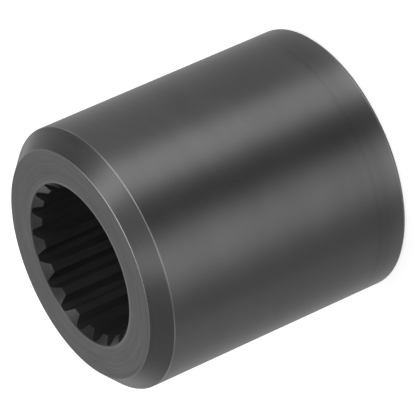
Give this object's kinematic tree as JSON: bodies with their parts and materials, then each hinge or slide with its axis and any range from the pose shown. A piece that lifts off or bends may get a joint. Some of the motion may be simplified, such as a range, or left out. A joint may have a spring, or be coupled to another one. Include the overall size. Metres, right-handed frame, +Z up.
{
  "type": "spline coupling",
  "caption": "Steel sleeve coupling with a straight internal spline through its bore, a wide chamfer round one end and lead-in chamfers at both mouths.",
  "frame": {"origin": "centre of the rear end face, at the height that the sleeve stands on", "axes": "+Z up the bore, from the rear end to the chamfered front end; +X through the middle of a space between two teeth"},
  "size_m": [0.065, 0.065, 0.07],
  "materials": {
    "oxide_steel": "fine turned, black oxide with a thin film of oil"
  },
  "bodies": {
    "root": {"coupling_sleeve": "oxide_steel"}
  },
  "joints": []
}
